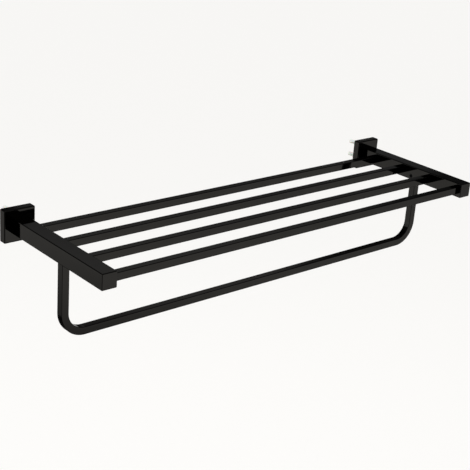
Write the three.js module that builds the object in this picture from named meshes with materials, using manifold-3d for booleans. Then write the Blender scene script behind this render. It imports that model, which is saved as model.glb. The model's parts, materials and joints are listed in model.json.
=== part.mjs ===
// Wall-mounted towel rack: a shelf of square bars between two arms, with a U-shaped towel rail hung below.
// Lengths are millimetres. The wall is the plane y = 0, the rack stands out along -Y, and +Z is up.
// The origin lies on the wall, midway between the two flanges, at the arms' mid-height.
import * as THREE from 'three';
import { mergeVertices } from 'three/addons/utils/BufferGeometryUtils.js';
import Module from 'manifold-3d';

const wasm = await Module();
wasm.setup();

// The whole rack
const fixingPitch = 600;
const reach = 200;
const fitGap = 0.3;
const overrun = 1;

// Flange covers: square cups that hide the wall brackets
const flangeSize = 42;
const flangeDepth = 10;
const flangeWall = 3;
const flangeFront = 3;
const flangeCorner = 2;

// Wall brackets: plates with bevelled upper and lower edges, which the covers hook over
const bracketSideGap = 0.8;
const bracketFrontGap = 1.5;
const bracketDrop = 2.7;
const bracketBevel = 1.5;
const bracketScrewEdge = 5.3;

// Wall screws, countersunk, and the nylon plugs that they spread in the wall, set back under its tiles
const wallScrewDiameter = 4;
const wallScrewHead = 8;
const wallScrewHeadHeight = 2.2;
const wallScrewLength = 30;
const wallScrewPoint = 6;
const plugDiameter = 6;
const plugLength = 25;
const plugSetBack = 2.3;
const plugCollar = 2.5;
const plugBarbDepth = 0.25;
const plugSlitWidth = 0.8;
const plugSlitShare = 0.6;
const plugBarbs = 4;

// Arms: square tubes, closed in front by caps
const armSize = 20;
const armWall = 1.5;
const armEdge = 1.2;
const capPlate = 2;

// Arm screws, countersunk in the covers from inside, and the blocks that they hold
const armScrewDiameter = 5;
const armScrewHead = 9.3;
const armScrewPoint = 1;
const armScrewShort = 1;
const rootBlockClear = 5;

// Shelf bars: square tubes set into the arms
const barCount = 4;
const barSize = 10;
const barWall = 1;
const barEdge = 0.8;
const firstBarFromWall = 34;
const frontSetback = 5;

// Towel rail: one square tube bent to a U
const railSize = 10;
const railWall = 1;
const railEdge = 0.8;
const railBend = 28;
const railDrop = 99;
const railBackset = 4;

// Rail sockets inside the arms
const socketWall = 2.7;
const socketRoof = 2.9;

// Grub screws with hexagon sockets
const railGrubDiameter = 5;
const railGrubLand = 1.2;
const flangeGrubDiameter = 4;
const grubRecess = 0.4;

// Shares of the sizes that they follow
const plateEdgeShare = 0.8;
const grubTipShare = 0.5;
const hexagonShare = 0.55;
const hexagonDepthShare = 0.5;
const flangeGrubPlaceShare = 0.6;
const crossSpanShare = 0.55;
const crossWidthShare = 0.13;
const crossDepthShare = 0.6;

// Counts of facets
const cornerSteps = 3;
const bendSteps = 16;
const roundSteps = 20;
const hexagonSides = 6;

// Places and sizes that follow from the ones above
const armCentre = fixingPitch / 2;
const armHalf = armSize / 2;
const armInside = armHalf - armWall;
const blockSize = 2 * (armInside - fitGap);
const armLength = reach - flangeDepth - capPlate;
const pocketSize = flangeSize - 2 * flangeWall;
const pocketDepth = flangeDepth - flangeFront;
const bracketWidth = pocketSize - 2 * bracketSideGap;
const bracketThickness = pocketDepth - bracketFrontGap;
const bracketTop = pocketSize / 2 - fitGap;
const bracketBottom = pocketSize / 2 - bracketDrop;
const wallScrewHeight = bracketBottom - bracketScrewEdge;
const lastBarFromWall = reach - frontSetback - barSize / 2;
const barPitch = (lastBarFromWall - firstBarFromWall) / (barCount - 1);
const barHole = barSize + 2 * fitGap;
const barLength = 2 * (armCentre + armInside - fitGap);
const rootBlockLength = firstBarFromWall - barSize / 2 - flangeDepth - rootBlockClear;
const armScrewHeadHeight = flangeFront - fitGap;
const armScrewLength = flangeFront + rootBlockLength - armScrewShort;
const middleGap = Math.floor((barCount - 1) / 2);
const railFromWall = firstBarFromWall + (middleGap + 1 / 2) * barPitch - railBackset;
const railHole = railSize + 2 * fitGap;
const railTop = blockSize / 2 - socketRoof - fitGap;
const socketLength = railHole + 2 * socketWall;
const railGrubHeight = -blockSize / 2 + railGrubLand + railGrubDiameter / 2;
const railGrubLength = armHalf - railSize / 2 - fitGap - grubRecess;
const flangeGrubFromWall = bracketThickness * flangeGrubPlaceShare;

// Directions: a shape's own x and y, and then the way that it is extruded
const acrossTheFront = new THREE.Matrix4().makeBasis(
  new THREE.Vector3(1, 0, 0), new THREE.Vector3(0, 0, 1), new THREE.Vector3(0, -1, 0));
const alongTheWall = new THREE.Matrix4().makeBasis(
  new THREE.Vector3(0, -1, 0), new THREE.Vector3(0, 0, 1), new THREE.Vector3(-1, 0, 0));

const material = (color, roughness, metalness) =>
  new THREE.MeshStandardMaterial({ color, roughness, metalness });
const blackGloss = () => material(0x0d0d0d, 0.15, 0);
const blackSteel = () => material(0x161616, 0.35, 0.8);
const zinc = () => material(0xb4b6b8, 0.45, 0.9);
const steel = () => material(0xc4c6c8, 0.3, 1);
const nylon = () => material(0xf0f0ea, 0.6, 0);

// A closed geometry as a solid, without the triangles that have no area
function solid(geometry) {
  const bare = geometry.index ? geometry.toNonIndexed() : geometry.clone();
  bare.deleteAttribute('normal');
  bare.deleteAttribute('uv');
  const merged = mergeVertices(bare);
  const corners = merged.index.array;
  const triangles = [];
  for (let i = 0; i < corners.length; i += 3) {
    const [a, b, c] = corners.slice(i, i + 3);
    if (a !== b && b !== c && c !== a) triangles.push(a, b, c);
  }
  return new wasm.Manifold(new wasm.Mesh({
    numProp: 3,
    vertProperties: merged.attributes.position.array,
    triVerts: new Uint32Array(triangles),
  }));
}

// A solid as the flat-shaded geometry of a mesh
function facets(shape) {
  const { numProp, vertProperties, triVerts } = shape.getMesh();
  const positions = [];
  for (const vertex of triVerts) {
    positions.push(...vertProperties.slice(vertex * numProp, vertex * numProp + 3));
  }
  const geometry = new THREE.BufferGeometry();
  geometry.setAttribute('position', new THREE.Float32BufferAttribute(positions, 3));
  geometry.computeVertexNormals();
  return geometry;
}

const rack = new THREE.Group();

function add(name, shape, finish, x, y, z) {
  const mesh = new THREE.Mesh(facets(shape), finish);
  mesh.name = name;
  mesh.position.set(x, y, z);
  rack.add(mesh);
  return mesh;
}

// A box between two corners
function block(low, high) {
  const size = high.map((value, i) => value - low[i]);
  const middle = high.map((value, i) => (value + low[i]) / 2);
  return solid(new THREE.BoxGeometry(...size).translate(...middle));
}

// A round solid about the axis of y, from points [radius, y] that start and end on the axis
function turned(points) {
  return solid(new THREE.LatheGeometry(points.map(([r, y]) => new THREE.Vector2(r, y)), roundSteps));
}

// A square about its centre with round corners
function roundSquare(size, corner) {
  const middle = size / 2 - corner;
  const quarter = Math.PI / 2;
  const shape = new THREE.Shape();
  shape.absarc(middle, middle, corner, 0, quarter);
  shape.absarc(-middle, middle, corner, quarter, 2 * quarter);
  shape.absarc(-middle, -middle, corner, 2 * quarter, 3 * quarter);
  shape.absarc(middle, -middle, corner, 3 * quarter, 4 * quarter);
  shape.closePath();
  return shape;
}

// A square tube of the given length, from y = 0 towards -Y with acrossTheFront, and centred with alongTheWall
function squareTube(size, wall, edge, length, direction) {
  const outline = roundSquare(size, edge);
  const inside = size / 2 - wall;
  const bore = new THREE.Path();
  bore.moveTo(-inside, -inside);
  bore.lineTo(-inside, inside);
  bore.lineTo(inside, inside);
  bore.lineTo(inside, -inside);
  bore.closePath();
  outline.holes.push(bore);
  const geometry = new THREE.ExtrudeGeometry(
    outline, { depth: length, bevelEnabled: false, curveSegments: cornerSteps });
  if (direction === alongTheWall) geometry.translate(0, 0, -length / 2);
  return solid(geometry.applyMatrix4(direction));
}

// A plate from y = 0 towards -Y, with front edges rounded a little less than its corners
function roundedPlate(size, corner, thickness) {
  const edge = corner * plateEdgeShare;
  const geometry = new THREE.ExtrudeGeometry(roundSquare(size, corner), {
    depth: thickness - edge + overrun,
    bevelThickness: edge,
    bevelSize: edge,
    bevelOffset: -edge,
    bevelSegments: cornerSteps,
    curveSegments: cornerSteps,
  });
  geometry.translate(0, 0, -overrun);
  const half = size / 2 + overrun;
  const behind = block([-half, 0, -half], [half, edge + 2 * overrun, half]);
  return solid(geometry.applyMatrix4(acrossTheFront)).subtract(behind);
}

// A profile of points [distance from the wall, height], extruded along the wall and centred
function wallProfile(points, width) {
  const shape = new THREE.Shape(points.map(([distance, height]) => new THREE.Vector2(distance, height)));
  const geometry = new THREE.ExtrudeGeometry(shape, { depth: width, bevelEnabled: false });
  return solid(geometry.translate(0, 0, -width / 2).applyMatrix4(alongTheWall));
}

// The hole for a countersunk screw whose head lies flush at y = 0 and whose tip points to +Y
function countersink(diameter, head, headHeight, depth) {
  const hole = diameter / 2 + fitGap;
  const mouth = head / 2 + fitGap;
  const end = depth + overrun;
  return turned([[0, -overrun], [mouth, -overrun], [mouth, 0], [hole, headHeight], [hole, end], [0, end]]);
}

// A countersunk screw with a cross recess, from its head at y = 0 to its tip at +Y
function countersunkScrew(diameter, head, headHeight, length, point) {
  const body = turned([
    [0, 0], [head / 2, 0], [diameter / 2, headHeight], [diameter / 2, length - point], [0, length],
  ]);
  const span = head * crossSpanShare / 2;
  const width = head * crossWidthShare / 2;
  const depth = headHeight * crossDepthShare;
  return body
    .subtract(block([-span, -overrun, -width], [span, depth, width]))
    .subtract(block([-width, -overrun, -span], [width, depth, span]));
}

// A grub screw with a hexagon socket, from its socket end at y = 0 to its tip at +Y
function grubScrew(diameter, length) {
  const radius = diameter / 2;
  const tip = radius * grubTipShare;
  const socket = radius * hexagonShare;
  const depth = length * hexagonDepthShare;
  const hexagon = new THREE.CylinderGeometry(socket, socket, depth + overrun, hexagonSides);
  hexagon.translate(0, (depth - overrun) / 2, 0);
  return turned([[0, 0], [radius, 0], [radius, length - tip], [tip, length], [0, length]])
    .subtract(solid(hexagon));
}

// A straight round hole about the axis of y, from y = 0 to a depth, overrun at both ends
function roundHole(diameter, depth) {
  const radius = diameter / 2 + fitGap;
  return turned([[0, -overrun], [radius, -overrun], [radius, depth + overrun], [0, depth + overrun]]);
}

// The height of the bracket's bevelled edge above its narrow back, at a distance from the wall
function bevelRise(fromWall) {
  return bracketBevel * (1 - fromWall / bracketThickness);
}

function wallBracket() {
  const plate = wallProfile([
    [0, bevelRise(0) - bracketBottom],
    [bracketThickness, -bracketBottom],
    [bracketThickness, bracketTop],
    [0, bracketTop - bevelRise(0)],
  ], bracketWidth);
  const hole = countersink(wallScrewDiameter, wallScrewHead, wallScrewHeadHeight, bracketThickness);
  return plate
    .subtract(hole.translate([0, -bracketThickness, wallScrewHeight]))
    .subtract(hole.translate([0, -bracketThickness, -wallScrewHeight]));
}

// The cover's pocket leaves a slanted ledge at the top, which hooks behind the bracket's bevelled edge
function flangeCover() {
  const half = pocketSize / 2;
  const ledge = bracketTop + fitGap - bevelRise(0);
  const pocket = wallProfile([
    [-overrun, -half],
    [pocketDepth, -half],
    [pocketDepth, half],
    [bracketThickness, half],
    [0, ledge],
    [-overrun, ledge],
  ], pocketSize);
  const armHole = countersink(armScrewDiameter, armScrewHead, armScrewHeadHeight, flangeFront);
  const grubHole = roundHole(flangeGrubDiameter, flangeWall);
  return roundedPlate(flangeSize, flangeCorner, flangeDepth)
    .subtract(pocket)
    .subtract(armHole.rotate([180, 0, 0]).translate([0, -pocketDepth, 0]))
    .subtract(grubHole.rotate([90, 0, 0]).translate([0, -flangeGrubFromWall, -flangeSize / 2]));
}

// The grub screw's tip stops just short of the bracket's bevelled lower edge
function flangeGrub() {
  const tip = flangeGrubDiameter / 2 * grubTipShare;
  const tipHeight = bevelRise(flangeGrubFromWall + tip) - bracketBottom - fitGap;
  return grubScrew(flangeGrubDiameter, tipHeight + flangeSize / 2 - grubRecess);
}

function wallPlug() {
  const radius = plugDiameter / 2;
  const barbed = plugLength - plugCollar;
  const points = [[0, 0], [radius, 0], [radius, plugCollar]];
  for (let i = 0; i < plugBarbs; i += 1) {
    points.push([radius - plugBarbDepth, plugCollar + barbed * i / plugBarbs]);
    points.push([radius, plugCollar + barbed * (i + 1 / 2) / plugBarbs]);
  }
  points.push([radius - plugBarbDepth, plugLength], [0, plugLength]);
  const slitStart = plugLength * (1 - plugSlitShare);
  const slit = block(
    [-radius - overrun, slitStart, -plugSlitWidth / 2],
    [radius + overrun, plugLength + overrun, plugSlitWidth / 2]);
  return turned(points).subtract(roundHole(wallScrewDiameter, plugLength)).subtract(slit);
}

// An arm's tube, with windows for the bars in its inner wall and a hole for the rail in its lower wall
function arm(inward) {
  const wallMiddle = armHalf - armWall / 2;
  const cut = armWall / 2 + overrun;
  const window = block([-cut, -barHole / 2, -barHole / 2], [cut, barHole / 2, barHole / 2]);
  const legHole = block([-railHole / 2, -railHole / 2, -cut], [railHole / 2, railHole / 2, cut]);
  const grubHole = roundHole(railGrubDiameter, armWall).rotate([0, 0, 90]);
  const railPlace = flangeDepth - railFromWall;
  let tube = squareTube(armSize, armWall, armEdge, armLength, acrossTheFront);
  for (let i = 0; i < barCount; i += 1) {
    const place = flangeDepth - firstBarFromWall - i * barPitch;
    tube = tube.subtract(window.translate([inward * wallMiddle, place, 0]));
  }
  return tube
    .subtract(legHole.translate([0, railPlace, -wallMiddle]))
    .subtract(grubHole.translate([inward * wallMiddle + armWall / 2, railPlace, railGrubHeight]));
}

// A cap's plate covers the tube's end, and its spigot stops short of the front bar
function armEndCap() {
  const spigotEnd = frontSetback - fitGap;
  const half = blockSize / 2;
  const spigot = block([-half, -capPlate / 2, -half], [half, spigotEnd - capPlate, half]);
  return roundedPlate(armSize, armEdge, capPlate).add(spigot);
}

function armRootBlock() {
  const half = blockSize / 2;
  const hole = roundHole(armScrewDiameter, rootBlockLength);
  return block([-half, -rootBlockLength, -half], [half, 0, half])
    .subtract(hole.translate([0, -rootBlockLength, 0]));
}

// A rail socket is blind from below, and its grub screw's hole comes in from the inner side
function railSocket(inward) {
  const half = blockSize / 2;
  const leg = railHole / 2;
  const socket = block([-leg, -leg, -half - overrun], [leg, leg, railTop + fitGap]);
  const side = block([-half, -socketLength / 2, -half], [half, socketLength / 2, half]).subtract(socket);
  const hole = roundHole(railGrubDiameter, half).rotate([0, 0, inward < 0 ? 90 : -90]);
  return side.subtract(hole.translate([0, 0, railGrubHeight]));
}

// The outline of a U of the given half width, top, bottom and outer bend, with legs of one thickness
function uOutline(halfWidth, top, bottom, bend, thickness) {
  const bendX = halfWidth - bend;
  const bendY = bottom + bend;
  const inner = bend - thickness;
  const shape = new THREE.Shape();
  shape.moveTo(-halfWidth, top);
  shape.absarc(-bendX, bendY, bend, Math.PI, Math.PI * 3 / 2);
  shape.absarc(bendX, bendY, bend, Math.PI * 3 / 2, Math.PI * 2);
  shape.lineTo(halfWidth, top);
  shape.lineTo(halfWidth - thickness, top);
  shape.absarc(bendX, bendY, inner, Math.PI * 2, Math.PI * 3 / 2, true);
  shape.absarc(-bendX, bendY, inner, Math.PI * 3 / 2, Math.PI, true);
  shape.lineTo(thickness - halfWidth, top);
  shape.closePath();
  return shape;
}

// The rail's section is centred on y = 0, and its bore is open at the tops of the legs
function towelRail() {
  const halfWidth = armCentre + railSize / 2;
  const bottom = -armHalf - railDrop;
  const bend = railBend + railSize / 2;
  const outer = new THREE.ExtrudeGeometry(uOutline(halfWidth, railTop, bottom, bend, railSize), {
    depth: railSize - 2 * railEdge,
    bevelThickness: railEdge,
    bevelSize: railEdge,
    bevelOffset: -railEdge,
    bevelSegments: cornerSteps,
    curveSegments: bendSteps,
  });
  outer.translate(0, 0, railEdge - railSize / 2);
  const boreSize = railSize - 2 * railWall;
  const bore = new THREE.ExtrudeGeometry(
    uOutline(halfWidth - railWall, railTop + overrun, bottom + railWall, bend - railWall, boreSize),
    { depth: boreSize, bevelEnabled: false, curveSegments: bendSteps });
  bore.translate(0, 0, -boreSize / 2);
  return solid(outer.applyMatrix4(acrossTheFront)).subtract(solid(bore.applyMatrix4(acrossTheFront)));
}

// One side of the rack: what hangs on the wall, and the arm that it carries
for (const [side, inward] of [['left', 1], ['right', -1]]) {
  const x = -inward * armCentre;
  for (const [level, z] of [['upper', wallScrewHeight], ['lower', -wallScrewHeight]]) {
    const screw = countersunkScrew(
      wallScrewDiameter, wallScrewHead, wallScrewHeadHeight, wallScrewLength, wallScrewPoint);
    add(`wall_plug_${side}_${level}`, wallPlug(), nylon(), x, plugSetBack, z);
    add(`wall_screw_${side}_${level}`, screw, steel(), x, -bracketThickness, z);
  }
  add(`wall_bracket_${side}`, wallBracket(), zinc(), x, 0, 0);
  add(`flange_cover_${side}`, flangeCover(), blackGloss(), x, 0, 0);
  const flangeScrew = add(
    `flange_grub_screw_${side}`, flangeGrub(), blackSteel(),
    x, -flangeGrubFromWall, grubRecess - flangeSize / 2);
  flangeScrew.rotation.x = Math.PI / 2;

  const armScrew = add(
    `arm_screw_${side}`,
    countersunkScrew(armScrewDiameter, armScrewHead, armScrewHeadHeight, armScrewLength, armScrewPoint),
    steel(), x, -pocketDepth, 0);
  armScrew.rotation.z = Math.PI;
  add(`arm_root_block_${side}`, armRootBlock(), steel(), x, -flangeDepth, 0);
  add(`arm_${side}`, arm(inward), blackGloss(), x, -flangeDepth, 0);
  add(`arm_end_cap_${side}`, armEndCap(), blackGloss(), x, capPlate - reach, 0);

  add(`rail_socket_${side}`, railSocket(inward), steel(), x, -railFromWall, 0);
  const railScrew = add(
    `rail_grub_screw_${side}`, grubScrew(railGrubDiameter, railGrubLength), blackSteel(),
    x + inward * (armHalf - grubRecess), -railFromWall, railGrubHeight);
  railScrew.rotation.z = inward * Math.PI / 2;
}

// What spans the two arms
for (let i = 0; i < barCount; i += 1) {
  const tube = squareTube(barSize, barWall, barEdge, barLength, alongTheWall);
  add(`shelf_bar_${i + 1}`, tube, blackGloss(), 0, -firstBarFromWall - i * barPitch, 0);
}
add('towel_rail', towelRail(), blackGloss(), 0, -railFromWall, 0);

export default rack;
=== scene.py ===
"""Looks of the wall-mounted towel rack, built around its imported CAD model.
Lengths are metres, in the CAD's frame: the wall is the plane y = 0 and the rack stands out along -Y."""
import json
import math

import bmesh
import bpy
from mathutils import Matrix, Vector


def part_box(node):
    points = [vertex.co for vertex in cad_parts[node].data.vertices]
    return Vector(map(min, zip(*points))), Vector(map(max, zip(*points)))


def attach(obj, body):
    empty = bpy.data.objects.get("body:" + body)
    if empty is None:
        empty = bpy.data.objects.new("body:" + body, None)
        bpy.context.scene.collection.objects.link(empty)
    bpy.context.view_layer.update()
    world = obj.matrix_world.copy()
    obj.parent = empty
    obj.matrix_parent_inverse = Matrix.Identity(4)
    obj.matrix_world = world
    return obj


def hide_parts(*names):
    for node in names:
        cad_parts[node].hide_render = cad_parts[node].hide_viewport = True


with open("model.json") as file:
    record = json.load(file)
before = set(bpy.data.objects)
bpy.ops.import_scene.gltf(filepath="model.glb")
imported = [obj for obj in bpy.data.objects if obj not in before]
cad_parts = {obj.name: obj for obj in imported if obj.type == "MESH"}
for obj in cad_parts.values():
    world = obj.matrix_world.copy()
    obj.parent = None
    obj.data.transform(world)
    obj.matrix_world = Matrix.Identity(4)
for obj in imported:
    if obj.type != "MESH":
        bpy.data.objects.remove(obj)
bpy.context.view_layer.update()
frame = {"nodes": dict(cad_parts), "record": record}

# Camera, fitted to the photograph
CAMERA_PLACE = Vector((-0.92378, -1.09740, 0.49280))
CAMERA_TARGET = Vector((-0.03686, -0.1, -0.03459))
CAMERA_ROLL = math.radians(4.354)
CAMERA_LENS = 85.018
CAMERA_SENSOR = 36.0

# Studio lamps and the even light around the rack
KEY_LAMP = {"place": (-1.3, -1.5, 1.5), "size": 1.4, "watts": 10.0}
RIM_LAMP = {"place": (1.2, 1.4, 1.3), "size": 1.2, "watts": 4.0}
BACKDROP = (0.930, 0.922, 0.905)
WHITE = 1.0
FILL = 0.9

# Floor, and where painted shade darkens its mirror image in the gloss
FLOOR_HEIGHT = -1.3
FLOOR_HALF = 30.0
FLOOR_SHARE = 0.86
NEAR_SHADE = (1.6, 2.9)
LEFT_AIM = Vector((-0.707, 0.707, 0))
LEFT_REACH_SHARE = 0.15
FRONT_AIM = Vector((-0.644, -0.765, 0))
FRONT_SHADE = (0.65, 0.85)
SHADE = 0.05

# What the gloss mirrors above the horizon: a band of light with dark gaps beside the panel behind the rack
DIM = 0.08
BAND_START = (0.12, 0.28)
BAND_LOW = 0.31
BAND_HIGH = 0.72
BAND_RISE = (0.32, 0.41)
BAND_END = (0.42, 0.47)
LEFT_EDGE = (0.4, 0.6)
LEFT_END = (0.22, 0.28)
PANEL_AIM = Vector((0.65, 0.76, 0))
PANEL_LEFT = Vector((0.872, -0.489, 0))
PANEL_RIGHT = Vector((-0.250, 0.681, -0.689))
PANEL_EDGE = (-0.004, 0.018)
PANEL_GAPS = (0.6, 0.45)
CEILING = 0.4
CEILING_START = (0.8, 0.95)

# Sizes that the boxes of the CAD nodes don't give
FIT_GAP = 0.0003
BRAZE_GAP = 0.00005
OVERRUN = 0.001
ARM_WALL = 0.0015
ARM_EDGE = 0.0012
BAR_WALL = 0.001
BAR_EDGE = 0.0008
BORE_EDGE = 0.0003
RAIL_BEND = 0.028
CAP_PLATE = 0.002
CAP_EDGE = 0.001
SPIGOT_EDGE = 0.0004
COVER_WALL = 0.003
COVER_FRONT = 0.003
COVER_CORNER = 0.002
COVER_EDGE = 0.0016
LEDGE_DROP = 0.0015
LEDGE_DEPTH = 0.0055
BRACKET_BEVEL = 0.0015
BRACKET_EDGE = 0.0004
WALL_SCREW = {"diameter": 0.004, "head_height": 0.0022, "point": 0.006, "pitch": 0.0016}
ARM_SCREW = {"diameter": 0.005, "head_height": 0.0027, "point": 0.001, "pitch": 0.0008}
SCREW_TIP = 0.0002
PLUG_COLLAR = 0.0025
PLUG_BARB = 0.0004
PLUG_EDGE = 0.0003
PLUG_SLIT = 0.0008
GRUB_EDGE = 0.0003

# Shares of the sizes that they follow
THREAD_ROOT_SHARE = 0.72
CROSS_SPAN_SHARE = 0.55
CROSS_WIDTH_SHARE = 0.13
CROSS_DEPTH_SHARE = 0.6
PLUG_SLIT_SHARE = 0.6
BARB_RISE_SHARE = 0.85
GRUB_TIP_SHARE = 0.5
HEXAGON_SHARE = 0.55
HEXAGON_DEPTH_SHARE = 0.5

# Looks of the materials: dark, pale and rubbed tones, roughness, feature sizes and heights of bumps
GLOSS = {
    "colour": (0.0298, 0.0288, 0.0270),
    "tone_shares": (0.92, 1.08, 1.5),
    "edge_tint": 0.57,
    "wiped": (0.35, 0.75),
    "roughness": (0.04, 0.10),
    "rubbed_roughness": 0.12,
    "cloud": 0.03,
    "wipe": 0.012,
    "peel": 0.0012,
    "edge": 0.0004,
    "height": 0.000002,
}
OXIDE = {
    "tones": ((0.006, 0.006, 0.007, 1), (0.014, 0.014, 0.015, 1), (0.08, 0.08, 0.08, 1)),
    "worn": (0.4, 0.6),
    "roughness": (0.3, 0.5),
    "patch": 0.001,
    "grain": 0.0003,
    "edge": 0.00015,
    "height": 0.00001,
}
CAST = {
    "tones": ((0.42, 0.43, 0.45, 1), (0.62, 0.63, 0.64, 1), (0.8, 0.8, 0.8, 1)),
    "roughness": (0.38, 0.6),
    "patch": 0.006,
    "skin": 0.0005,
    "edge": 0.0003,
    "height": 0.00004,
}
SAWN = {
    "tones": ((0.45, 0.45, 0.44, 1), (0.66, 0.66, 0.64, 1), (0.8, 0.8, 0.78, 1)),
    "roughness": (0.22, 0.42),
    "line": 0.002,
    "squeeze": 12,
    "edge": 0.0003,
    "height": 0.00002,
}
ROLLED = {
    "tones": ((0.55, 0.55, 0.54, 1), (0.7, 0.7, 0.68, 1), (0.85, 0.85, 0.83, 1)),
    "roughness": (0.15, 0.32),
    "line": 0.001,
    "squeeze": 8,
    "edge": 0.0002,
    "height": 0.00001,
}
NYLON = {
    "tones": ((0.80, 0.80, 0.77, 1), (0.88, 0.88, 0.86, 1), (0.92, 0.92, 0.91, 1)),
    "roughness": (0.4, 0.55),
    "subsurface": 0.2,
    "depth": 0.001,
    "cloud": 0.004,
    "grain": 0.0004,
    "edge": 0.0002,
    "height": 0.00002,
}

# Where noise counts, how far an edge turns before it is worn, and the levels of detail of noise
NOISE_SPAN = (0.3, 0.7)
EDGE_TURN = (0.995, 0.85)
COARSE = 2
MIDDLING = 3
FINE = 4

# Counts of facets, and the angle from which an edge is sharp
CORNER_STEPS = 6
BEND_STEPS = 48
ROUND_STEPS = 48
BEVEL_STEPS = 3
THREAD_STEPS = 8
PLUG_BARBS = 8
HEXAGON_SIDES = 6
SHARP_ANGLE = math.radians(30)

# Names of the CAD nodes' repeats, each side with its direction inwards, and the frame's axes
SIDES = (("left", 1), ("right", -1))
LEVELS = ("upper", "lower")
BARS = ("shelf_bar_1", "shelf_bar_2", "shelf_bar_3", "shelf_bar_4")
ACROSS = Vector((1, 0, 0))
INTO_WALL = Vector((0, 1, 0))
UP = Vector((0, 0, 1))


def node(tree, kind, **inputs):
    """A node with some of its inputs set or linked, named with underscores for spaces."""
    made = tree.nodes.new(kind)
    for name, value in inputs.items():
        connect(tree, value, made.inputs[name.replace("_", " ")])
    return made


def connect(tree, value, socket):
    if isinstance(value, bpy.types.NodeSocket):
        tree.links.new(value, socket)
    else:
        socket.default_value = value


def operated(tree, kind, operation, first, second):
    """The outputs of a maths node of the given kind."""
    made = tree.nodes.new(kind)
    made.operation = operation
    connect(tree, first, made.inputs[0])
    connect(tree, second, made.inputs[1])
    return made.outputs


def maths(tree, operation, first, second):
    return operated(tree, "ShaderNodeMath", operation, first, second)["Value"]


def dot(tree, first, second):
    return operated(tree, "ShaderNodeVectorMath", "DOT_PRODUCT", first, second)["Value"]


def mapped(tree, value, span, low=0.0, high=1.0):
    """A value's way through a span, as a smooth way from low to high."""
    start, end = span
    ends = {"From_Min": start, "From_Max": end, "To_Min": low, "To_Max": high}
    made = node(tree, "ShaderNodeMapRange", Value=value, **ends)
    made.interpolation_type = "SMOOTHSTEP"
    return made.outputs["Result"]


def mixed(tree, share, low, high):
    """One shader turned into another."""
    made = tree.nodes.new("ShaderNodeMixShader")
    for value, socket in zip((share, low, high), made.inputs):
        tree.links.new(value, socket)
    return made.outputs[0]


def ray_is(tree, *kinds):
    """1 for rays of these kinds and 0 for the others."""
    path = tree.nodes.new("ShaderNodeLightPath")
    total = path.outputs[kinds[0]]
    for kind in kinds[1:]:
        total = maths(tree, "MAXIMUM", total, path.outputs[kind])
    return total


def grey(level):
    return (level, level, level, 1)


def shaded(colour, factor):
    return (*(min(1.0, value * factor) for value in colour), 1)


def make_camera():
    camera = bpy.data.objects.new("camera", bpy.data.cameras.new("camera"))
    bpy.context.scene.collection.objects.link(camera)
    camera.data.lens = CAMERA_LENS
    camera.data.sensor_width = CAMERA_SENSOR
    aim = (CAMERA_TARGET - CAMERA_PLACE).to_track_quat("-Z", "Y").to_matrix().to_4x4()
    camera.matrix_world = Matrix.Translation(CAMERA_PLACE) @ aim @ Matrix.Rotation(CAMERA_ROLL, 4, "Z")
    bpy.context.scene.camera = camera


def mirrored_light(tree):
    """The light that the gloss mirrors from each direction above the horizon."""
    direction = tree.nodes.new("ShaderNodeTexCoord").outputs["Generated"]
    height = dot(tree, direction, UP)
    left = mapped(tree, dot(tree, direction, PANEL_LEFT), PANEL_EDGE)
    right = mapped(tree, dot(tree, direction, PANEL_RIGHT), PANEL_EDGE)
    panel = maths(tree, "MULTIPLY", left, right)
    elsewhere = mapped(tree, dot(tree, direction, PANEL_AIM), PANEL_GAPS)
    open_part = maths(tree, "MAXIMUM", panel, elsewhere)
    rise = mapped(tree, height, BAND_RISE, mapped(tree, height, BAND_START, DIM, BAND_LOW), BAND_HIGH)
    band = maths(tree, "MULTIPLY", rise, mapped(tree, height, BAND_END, WHITE, DIM))
    ceiling = mapped(tree, height, CEILING_START, DIM, CEILING)
    above = maths(tree, "MAXIMUM", maths(tree, "MULTIPLY", band, open_part), ceiling)
    low_band = mapped(tree, height, LEFT_END, WHITE, DIM)
    return mapped(tree, dot(tree, direction, LEFT_AIM), LEFT_EDGE, above, low_band)


def make_world():
    """Nearly white to the camera, a band of light to the gloss, and an even light to the rest."""
    world = bpy.data.worlds.new("studio")
    world.use_nodes = True
    bpy.context.scene.world = world
    tree = world.node_tree
    tree.nodes.clear()
    mirrored = node(tree, "ShaderNodeBackground", Strength=mirrored_light(tree)).outputs[0]
    fill = node(tree, "ShaderNodeBackground", Color=grey(FILL)).outputs[0]
    backdrop = node(tree, "ShaderNodeBackground", Color=shaded(BACKDROP, WHITE)).outputs[0]
    lit = mixed(tree, ray_is(tree, "Is Glossy Ray"), fill, mirrored)
    shown = mixed(tree, ray_is(tree, "Is Camera Ray", "Is Transmission Ray"), lit, backdrop)
    node(tree, "ShaderNodeOutputWorld", Surface=shown)


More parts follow.
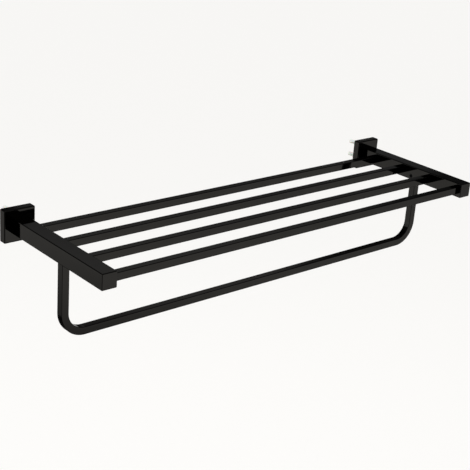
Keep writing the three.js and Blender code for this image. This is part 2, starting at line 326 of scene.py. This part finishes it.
def floor_material():
    """Pale; where it is seen or mirrored, a glow makes up what the fill leaves of the backdrop's colour, and
    painted shade darkens its mirror image in the gloss.
    """
    material = bpy.data.materials.new("floor")
    material.use_nodes = True
    tree = material.node_tree
    tree.nodes.clear()
    matt = node(tree, "ShaderNodeBsdfDiffuse", Color=shaded(BACKDROP, FLOOR_SHARE)).outputs[0]
    missing = WHITE - FLOOR_SHARE * FILL
    glow = node(tree, "ShaderNodeEmission", Color=shaded(BACKDROP, WHITE), Strength=missing).outputs[0]
    add = tree.nodes.new("ShaderNodeAddShader")
    tree.links.new(matt, add.inputs[0])
    tree.links.new(glow, add.inputs[1])
    # Painted shade, seen only in the gloss: the floor's mirror image goes dark near the rack, further out
    # towards the left, and towards the front
    place = tree.nodes.new("ShaderNodeTexCoord").outputs["Object"]
    distance = maths(tree, "SQRT", dot(tree, place, place), 0)
    leftwards = maths(tree, "MAXIMUM", dot(tree, place, LEFT_AIM), 0)
    reach = maths(tree, "MULTIPLY", leftwards, LEFT_REACH_SHARE)
    near = mapped(tree, maths(tree, "SUBTRACT", distance, reach), NEAR_SHADE, SHADE, WHITE)
    forwards = maths(tree, "DIVIDE", dot(tree, place, FRONT_AIM), distance)
    front = mapped(tree, forwards, FRONT_SHADE, WHITE, DIM)
    dark = node(tree, "ShaderNodeEmission", Strength=0).outputs[0]
    mirrored = mixed(tree, maths(tree, "MINIMUM", near, front), dark, add.outputs[0])
    seen = mixed(tree, ray_is(tree, "Is Glossy Ray"), add.outputs[0], mirrored)
    direct = ray_is(tree, "Is Camera Ray", "Is Glossy Ray", "Is Transmission Ray")
    node(tree, "ShaderNodeOutputMaterial", Surface=mixed(tree, direct, matt, seen))
    return material


def make_floor():
    mesh = bpy.data.meshes.new("floor")
    corners = [(x * FLOOR_HALF, y * FLOOR_HALF, 0) for x, y in ((-1, -1), (1, -1), (1, 1), (-1, 1))]
    mesh.from_pydata(corners, [], [(0, 1, 2, 3)])
    mesh.materials.append(floor_material())
    floor = bpy.data.objects.new("floor", mesh)
    floor.location.z = FLOOR_HEIGHT
    bpy.context.scene.collection.objects.link(floor)


def make_lamp(name, place, size, watts):
    """A soft square lamp aimed at the rack, which the gloss doesn't mirror."""
    light = bpy.data.lights.new(name, "AREA")
    light.size = size
    light.energy = watts
    lamp = bpy.data.objects.new(name, light)
    bpy.context.scene.collection.objects.link(lamp)
    aim = (CAMERA_TARGET - Vector(place)).to_track_quat("-Z", "Y").to_matrix().to_4x4()
    lamp.matrix_world = Matrix.Translation(Vector(place)) @ aim
    lamp.visible_glossy = False


def blank_material(name, metallic=1):
    """A material with its node tree, its shader and the coordinates that its textures use."""
    material = bpy.data.materials.new(name)
    material.use_nodes = True
    tree = material.node_tree
    shader = tree.nodes["Principled BSDF"]
    shader.inputs["Metallic"].default_value = metallic
    place = tree.nodes.new("ShaderNodeTexCoord").outputs["Object"]
    return material, tree, shader, place


def noise(tree, place, feature, detail=COARSE):
    """Noise with features of about the given size."""
    made = node(tree, "ShaderNodeTexNoise", Vector=place, Scale=1 / feature, Detail=detail)
    return made.outputs["Fac"]


def edges(tree, width):
    """1 along edges, within about the given width, and 0 on flat faces."""
    rounded = node(tree, "ShaderNodeBevel", Radius=width).outputs[0]
    flat = tree.nodes.new("ShaderNodeNewGeometry").outputs["True Normal"]
    return mapped(tree, dot(tree, rounded, flat), EDGE_TURN)


def colours(tree, share, low, high):
    """A colour between two others."""
    made = tree.nodes.new("ShaderNodeMix")
    made.data_type = "RGBA"
    connect(tree, share, made.inputs["Factor"])
    for value, socket in zip((low, high), [s for s in made.inputs if s.type == "RGBA"]):
        connect(tree, value, socket)
    return next(s for s in made.outputs if s.type == "RGBA")


def bump(tree, shader, height, distance):
    made = node(tree, "ShaderNodeBump", Height=height, Distance=distance, Strength=1)
    tree.links.new(made.outputs[0], shader.inputs["Normal"])


def tinted(tree, shader, share, worn, tones):
    """Colours the surface from the dark to the pale tone, and with the rubbed tone where it is worn."""
    dark, pale, rubbed = tones
    body = colours(tree, share, dark, pale)
    connect(tree, colours(tree, worn, body, rubbed), shader.inputs["Base Color"])


def roughened(tree, shader, share, look):
    connect(tree, mapped(tree, share, NOISE_SPAN, *look["roughness"]), shader.inputs["Roughness"])


def black_gloss():
    """A black mirror coat: fine orange peel, faint wipe marks, and edges a little duller and paler."""
    material, tree, shader, place = blank_material("black_gloss")
    worn = edges(tree, GLOSS["edge"])
    tones = [shaded(GLOSS["colour"], share) for share in GLOSS["tone_shares"]]
    tinted(tree, shader, noise(tree, place, GLOSS["cloud"]), worn, tones)
    shader.inputs["Specular Tint"].default_value = grey(GLOSS["edge_tint"])
    wiped = mapped(tree, noise(tree, place, GLOSS["wipe"], FINE), GLOSS["wiped"], *GLOSS["roughness"])
    rubbed = mapped(tree, worn, (0, 1), 0, GLOSS["rubbed_roughness"])
    connect(tree, maths(tree, "ADD", wiped, rubbed), shader.inputs["Roughness"])
    bump(tree, shader, noise(tree, place, GLOSS["peel"]), GLOSS["height"])
    return material


def black_steel():
    """Black oxide on steel: patchy, slightly oily, worn to bare steel along its edges."""
    material, tree, shader, place = blank_material("black_steel")
    patches = noise(tree, place, OXIDE["patch"], FINE)
    worn = maths(tree, "MULTIPLY", edges(tree, OXIDE["edge"]), mapped(tree, patches, OXIDE["worn"]))
    tinted(tree, shader, patches, worn, OXIDE["tones"])
    roughened(tree, shader, patches, OXIDE)
    bump(tree, shader, noise(tree, place, OXIDE["grain"]), OXIDE["height"])
    return material


def bracket_zinc():
    """Dull cast zinc: a fine sandy skin, grey patches and edges rubbed bright."""
    material, tree, shader, place = blank_material("bracket_zinc")
    patches = noise(tree, place, CAST["patch"], FINE)
    skin = noise(tree, place, CAST["skin"], MIDDLING)
    tinted(tree, shader, patches, edges(tree, CAST["edge"]), CAST["tones"])
    roughened(tree, shader, skin, CAST)
    bump(tree, shader, skin, CAST["height"])
    return material


def lined_steel(name, look):
    """Bare steel with fine lines parallel to the wall: noise that is squeezed along the wall's normal."""
    material, tree, shader, place = blank_material(name)
    squeeze = Vector((1, look["squeeze"], 1))
    squeezed = operated(tree, "ShaderNodeVectorMath", "MULTIPLY", place, squeeze)["Vector"]
    lines = noise(tree, squeezed, look["line"], MIDDLING)
    tinted(tree, shader, lines, edges(tree, look["edge"]), look["tones"])
    roughened(tree, shader, lines, look)
    bump(tree, shader, lines, look["height"])
    return material


def block_steel():
    """Sawn and milled steel: fine tool lines across the blocks and edges that are a little brighter."""
    return lined_steel("block_steel", SAWN)


def screw_steel():
    """Bright rolled steel: fine lines round the screw, rubbed edges."""
    return lined_steel("screw_steel", ROLLED)


def plug_nylon():
    """Natural white nylon: cloudy, softly lit from within, with a fine moulded grain."""
    material, tree, shader, place = blank_material("plug_nylon", metallic=0)
    cloud = noise(tree, place, NYLON["cloud"], MIDDLING)
    tinted(tree, shader, cloud, edges(tree, NYLON["edge"]), NYLON["tones"])
    roughened(tree, shader, cloud, NYLON)
    shader.inputs["Subsurface Weight"].default_value = NYLON["subsurface"]
    shader.inputs["Subsurface Scale"].default_value = NYLON["depth"]
    bump(tree, shader, noise(tree, place, NYLON["grain"]), NYLON["height"])
    return material


def round_square(size, corner):
    """The outline (x, y) of a square about (0, 0) with round corners, counter-clockwise."""
    middle = size / 2 - corner
    points = []
    for quarter, (x, y) in enumerate(((1, 1), (-1, 1), (-1, -1), (1, -1))):
        for step in range(CORNER_STEPS + 1):
            angle = (quarter + step / CORNER_STEPS) * math.pi / 2
            points.append((x * middle + corner * math.cos(angle), y * middle + corner * math.sin(angle)))
    return points


def placed(outline, origin, across, up):
    """An outline's points in space, about an origin and along two directions."""
    return [origin + across * x + up * y for x, y in outline]


def wall_frame(y, x):
    """An origin at the arms' height and directions for an outline that is parallel to the wall."""
    return Vector((x, y, 0)), ACROSS, UP


def lofted(name, loops, endless=False):
    """A closed piece through loops of one count; its ends are filled, or joined to each other if endless."""
    shape = bmesh.new()
    rings = [[shape.verts.new(point) for point in loop] for loop in loops]
    following = rings[1:] + rings[:1] if endless else rings[1:]
    for first, second in zip(rings, following):
        for i in range(len(first)):
            shape.faces.new((first[i - 1], first[i], second[i], second[i - 1]))
    if not endless:
        shape.faces.new(rings[0])
        shape.faces.new(rings[-1])
    bmesh.ops.recalc_face_normals(shape, faces=shape.faces)
    mesh = bpy.data.meshes.new(name)
    shape.to_mesh(mesh)
    shape.free()
    piece = bpy.data.objects.new(name, mesh)
    bpy.context.scene.collection.objects.link(piece)
    return piece


def tube(name, stations, size, corner, wall):
    """A square tube through stations (origin, across, up), open at both ends."""
    outside = round_square(size, corner)
    inside = round_square(size - 2 * wall, BORE_EDGE)
    outer = [placed(outside, *station) for station in stations]
    inner = [placed(inside, *station) for station in stations]
    return lofted(name, outer + inner[::-1], endless=True)


def turned(name, start, aim, stations):
    """A solid about an axis, from stations (distance along it, the radii round it)."""
    turn = aim.to_track_quat("Z", "Y")
    loops = []
    for distance, radii in stations:
        angles = [2 * math.pi * i / len(radii) for i in range(len(radii))]
        loops.append([
            start + turn @ Vector((radius * math.cos(angle), radius * math.sin(angle), distance))
            for radius, angle in zip(radii, angles)
        ])
    return lofted(name, loops)


def even(profile, sides=ROUND_STEPS):
    """Stations of one radius each, from pairs (distance, radius)."""
    return [(distance, [radius] * sides) for distance, radius in profile]


def threaded(radius, pitch, start, end, point):
    """Stations of a thread that narrows to a tip over the length of its point."""
    root = radius * THREAD_ROOT_SHARE
    steps = round((end - start) / pitch * THREAD_STEPS)
    stations = []
    for step in range(steps + 1):
        distance = start + (end - start) * step / steps
        share = min(1, (end - distance) / point)
        turns = [distance / pitch - i / ROUND_STEPS for i in range(ROUND_STEPS)]
        radii = [root + (radius - root) * (1 - math.cos(2 * math.pi * turn)) / 2 for turn in turns]
        stations.append((distance, [SCREW_TIP + (full - SCREW_TIP) * share for full in radii]))
    return stations


def drill(radius, start, end):
    """A round cutter between two points."""
    path = end - start
    return turned("drill", start, path.normalized(), even([(0, radius), (path.length, radius)]))


def countersink(screw, aim, shape, depth):
    """The cutter for a countersunk screw's hole, from the screw's head along aim."""
    low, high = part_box(screw)
    middle = (low + high) / 2
    start = middle - aim * (high.y - low.y) / 2
    mouth = (high.x - low.x) / 2 + FIT_GAP
    hole = shape["diameter"] / 2 + FIT_GAP
    profile = [(-OVERRUN, mouth), (0, mouth), (shape["head_height"], hole), (depth + OVERRUN, hole)]
    return turned("countersink", start, aim, even(profile))


def punch(low, high):
    """A square cutter between two corners."""
    outline = [(low.x, low.y), (high.x, low.y), (high.x, high.y), (low.x, high.y)]
    return lofted("punch", [[Vector((x, y, z)) for x, y in outline] for z in (low.z, high.z)])


def cut(piece, *cutters):
    """Takes the cutters out of a piece, and removes them."""
    for cutter in cutters:
        boolean = piece.modifiers.new(cutter.name, "BOOLEAN")
        boolean.solver = "EXACT"
        boolean.object = cutter
    bpy.context.view_layer.update()
    whole = piece.data
    graph = bpy.context.evaluated_depsgraph_get()
    piece.data = bpy.data.meshes.new_from_object(piece.evaluated_get(graph))
    piece.modifiers.clear()
    for mesh in [whole] + [cutter.data for cutter in cutters]:
        bpy.data.meshes.remove(mesh)


def shelf_bar(name):
    low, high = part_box(name)
    centre = (low + high) / 2
    ends = [Vector((x, centre.y, centre.z)) for x in (low.x, high.x)]
    return tube(f"{name}_tube", [(end, INTO_WALL, UP) for end in ends], high.z - low.z, BAR_EDGE, BAR_WALL)


def towel_rail():
    """The rail's tube, bent to a U between the sockets in the two arms."""
    low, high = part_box("towel_rail")
    size = high.y - low.y
    y = (low.y + high.y) / 2
    leg = high.x - size / 2
    bend_x = leg - RAIL_BEND
    bend_z = low.z + size / 2 + RAIL_BEND
    path = [(-leg, high.z, math.pi)]
    for sign, quarter in ((-1, 2), (1, 3)):
        for step in range(BEND_STEPS + 1):
            angle = (quarter + step / BEND_STEPS) * math.pi / 2
            x = sign * bend_x + RAIL_BEND * math.cos(angle)
            path.append((x, bend_z + RAIL_BEND * math.sin(angle), angle))
    path.append((leg, high.z, 2 * math.pi))
    stations = [
        (Vector((x, y, z)), Vector((math.cos(angle), 0, math.sin(angle))), INTO_WALL)
        for x, z, angle in path
    ]
    return tube("towel_rail_tube", stations, size, BAR_EDGE, BAR_WALL)


def arm(side, inward):
    """An arm's tube with windows for the bars, a hole for the rail's leg and one for its grub screw."""
    low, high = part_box(f"arm_{side}")
    x = (low.x + high.x) / 2
    size = high.z - low.z
    piece = tube(f"arm_{side}_tube", [wall_frame(y, x) for y in (high.y, low.y)], size, ARM_EDGE, ARM_WALL)
    gap = Vector((0, BRAZE_GAP, BRAZE_GAP))
    cutters = [punch(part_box(bar)[0] - gap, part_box(bar)[1] + gap) for bar in BARS]
    rail_low, rail_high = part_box("towel_rail")
    half = (rail_high.y - rail_low.y) / 2 + FIT_GAP
    foot = Vector((half, half, 0))
    leg = Vector((x, (rail_low.y + rail_high.y) / 2, 0))
    cutters.append(punch(leg - foot + Vector((0, 0, low.z - OVERRUN)), leg + foot))
    grub_low, grub_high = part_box(f"rail_grub_screw_{side}")
    grub = (grub_low + grub_high) / 2
    radius = (grub_high.z - grub_low.z) / 2 + FIT_GAP
    mouth = x + inward * (size / 2 + OVERRUN)
    inside = x + inward * (size / 2 - ARM_WALL - OVERRUN)
    cutters.append(drill(radius, Vector((inside, grub.y, grub.z)), Vector((mouth, grub.y, grub.z))))
    cut(piece, *cutters)
    return piece


def rounded_front(size, corner, edge, front, x):
    """Loops that round a square plate's front edges, from its full size to its flat front."""
    loops = []
    for step in range(CORNER_STEPS + 1):
        angle = math.pi / 2 * step / CORNER_STEPS
        inset = edge * (1 - math.cos(angle))
        y = front + edge * (1 - math.sin(angle))
        loops.append(placed(round_square(size - 2 * inset, corner - inset), *wall_frame(y, x)))
    return loops


def arm_end_cap(side):
    """A cap's plate on the arm's front end, and the spigot behind it."""
    low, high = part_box(f"arm_end_cap_{side}")
    x = (low.x + high.x) / 2
    size = high.z - low.z
    back = low.y + CAP_PLATE
    spigot = round_square(size - 2 * (ARM_WALL + FIT_GAP), SPIGOT_EDGE)
    loops = [placed(spigot, *wall_frame(y, x)) for y in (high.y, back)]
    loops.append(placed(round_square(size, ARM_EDGE), *wall_frame(back, x)))
    loops += rounded_front(size, ARM_EDGE, CAP_EDGE, low.y, x)
    return lofted(f"arm_end_cap_{side}_plate", loops)


def flange_cover(side):
    """A cover with its pocket and hooking ledge, the arm screw's hole and the grub screw's hole."""
    low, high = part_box(f"flange_cover_{side}")
    x = (low.x + high.x) / 2
    size = high.z - low.z
    floor = low.y + COVER_FRONT
    pocket = round_square(size - 2 * COVER_WALL, BORE_EDGE)
    ledge = size / 2 - COVER_WALL - LEDGE_DROP
    hooked = [(across, min(up, ledge)) for across, up in pocket]
    loops = [
        placed(pocket, *wall_frame(floor, x)),
        placed(pocket, *wall_frame(high.y - LEDGE_DEPTH, x)),
        placed(hooked, *wall_frame(high.y, x)),
        placed(round_square(size, COVER_CORNER), *wall_frame(high.y, x)),
    ]
    loops += rounded_front(size, COVER_CORNER, COVER_EDGE, low.y, x)
    piece = lofted(f"flange_cover_{side}_cup", loops)
    grub_low, grub_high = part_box(f"flange_grub_screw_{side}")
    y = (grub_low.y + grub_high.y) / 2
    radius = (grub_high.x - grub_low.x) / 2 + FIT_GAP
    below = Vector((x, y, low.z - OVERRUN))
    above = Vector((x, y, low.z + COVER_WALL + OVERRUN))
    arm_hole = countersink(f"arm_screw_{side}", -INTO_WALL, ARM_SCREW, COVER_FRONT)
    cut(piece, arm_hole, drill(radius, below, above))
    return piece


def countersunk_screw(name, aim, shape):
    """A threaded screw with a cross recess, from its head along aim."""
    low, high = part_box(name)
    middle = (low + high) / 2
    length = high.y - low.y
    start = middle - aim * length / 2
    head = (high.x - low.x) / 2
    radius = shape["diameter"] / 2
    stations = even([(0, head), (shape["head_height"], radius)])
    stations += threaded(radius, shape["pitch"], shape["head_height"] + FIT_GAP, length, shape["point"])
    piece = turned(f"{name}_body", start, aim, stations)
    span = head * CROSS_SPAN_SHARE
    width = head * CROSS_WIDTH_SHARE
    ends = (start - aim * OVERRUN, start + aim * shape["head_height"] * CROSS_DEPTH_SHARE)
    first, last = sorted(end.y for end in ends)
    cutters = [
        punch(Vector((start.x - x, first, start.z - z)), Vector((start.x + x, last, start.z + z)))
        for x, z in ((span, width), (width, span))
    ]
    cut(piece, *cutters)
    return piece


def grub_screw(name, aim):
    """A grub screw with a hexagon socket, from its socket end along aim."""
    low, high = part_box(name)
    length = abs((high - low).dot(aim))
    start = (low + high) / 2 - aim * length / 2
    radius = (high.y - low.y) / 2
    tip = radius * GRUB_TIP_SHARE
    profile = [(0, radius - GRUB_EDGE), (GRUB_EDGE, radius), (length - tip, radius), (length, tip)]
    piece = turned(f"{name}_body", start, aim, even(profile))
    socket = radius * HEXAGON_SHARE
    hexagon = even([(-OVERRUN, socket), (length * HEXAGON_DEPTH_SHARE, socket)], HEXAGON_SIDES)
    cut(piece, turned("socket", start, aim, hexagon))
    return piece


def wall_bracket(side):
    """A cast plate that is narrower at the wall, with rounded edges and two countersunk holes."""
    low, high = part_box(f"wall_bracket_{side}")
    outline = [
        (low.y, low.z),
        (low.y, high.z),
        (high.y, high.z - BRACKET_BEVEL),
        (high.y, low.z + BRACKET_BEVEL),
    ]
    loops = [[Vector((x, y, z)) for y, z in outline] for x in (low.x, high.x)]
    piece = lofted(f"wall_bracket_{side}_plate", loops)
    rounded = piece.modifiers.new("rounded", "BEVEL")
    rounded.width = BRACKET_EDGE
    rounded.segments = BEVEL_STEPS
    rounded.limit_method = "NONE"
    depth = high.y - low.y
    screws = [f"wall_screw_{side}_{level}" for level in LEVELS]
    cut(piece, *[countersink(screw, INTO_WALL, WALL_SCREW, depth) for screw in screws])
    return piece


def wall_plug(name):
    """A barbed nylon plug with its bore, and the slit that lets it spread."""
    low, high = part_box(name)
    middle = (low + high) / 2
    start = Vector((middle.x, low.y, middle.z))
    end = Vector((middle.x, high.y, middle.z))
    length = high.y - low.y
    radius = (high.x - low.x) / 2
    profile = [(0, radius - PLUG_EDGE), (PLUG_EDGE, radius), (PLUG_COLLAR, radius)]
    pitch = (length - PLUG_COLLAR) / PLUG_BARBS
    for i in range(PLUG_BARBS):
        base = PLUG_COLLAR + i * pitch
        profile += [(base + FIT_GAP, radius - PLUG_BARB), (base + pitch * BARB_RISE_SHARE, radius)]
    profile.append((length, radius - PLUG_BARB))
    piece = turned(f"{name}_body", start, INTO_WALL, even(profile))
    bore = WALL_SCREW["diameter"] / 2 + FIT_GAP
    margin = INTO_WALL * OVERRUN
    across = Vector((radius + OVERRUN, 0, PLUG_SLIT / 2))
    slit_start = end - INTO_WALL * length * PLUG_SLIT_SHARE
    cut(piece, drill(bore, start - margin, end + margin), punch(slit_start - across, end + margin + across))
    return piece


def smooth(piece):
    """Shades rounded edges smoothly and keeps flat faces flat."""
    piece.data.shade_smooth()
    piece.data.set_sharp_from_angle(angle=SHARP_ANGLE)
    weighted = piece.modifiers.new("weighted_normal", "WEIGHTED_NORMAL")
    weighted.keep_sharp = True


def dress(piece, material):
    if not piece.material_slots:
        piece.data.materials.append(material)
    for slot in piece.material_slots:
        slot.material = material


def replace(piece, name):
    """A finer piece takes the place of its CAD node."""
    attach(piece, "root")
    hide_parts(name)


make_camera()
make_world()
make_floor()
make_lamp("key_lamp", **KEY_LAMP)
make_lamp("rim_lamp", **RIM_LAMP)

materials = {make.__name__: make() for make in
             (black_gloss, black_steel, bracket_zinc, block_steel, screw_steel, plug_nylon)}
slots = {part["node"]: part["material_slot"] for part in frame["record"]["subparts"]}

fine = {name: shelf_bar(name) for name in BARS}
fine["towel_rail"] = towel_rail()
for side, inward in SIDES:
    fine[f"arm_{side}"] = arm(side, inward)
    fine[f"arm_end_cap_{side}"] = arm_end_cap(side)
    fine[f"arm_screw_{side}"] = countersunk_screw(f"arm_screw_{side}", -INTO_WALL, ARM_SCREW)
    fine[f"rail_grub_screw_{side}"] = grub_screw(f"rail_grub_screw_{side}", ACROSS * -inward)
    fine[f"flange_cover_{side}"] = flange_cover(side)
    fine[f"flange_grub_screw_{side}"] = grub_screw(f"flange_grub_screw_{side}", UP)
    fine[f"wall_bracket_{side}"] = wall_bracket(side)
    for level in LEVELS:
        screw = f"wall_screw_{side}_{level}"
        plug = f"wall_plug_{side}_{level}"
        fine[screw] = countersunk_screw(screw, INTO_WALL, WALL_SCREW)
        fine[plug] = wall_plug(plug)
for name, piece in fine.items():
    smooth(piece)
    replace(piece, name)

for name, piece in {**frame["nodes"], **fine}.items():
    dress(piece, materials[slots[name]])

bpy.context.scene.view_settings.view_transform = "Standard"
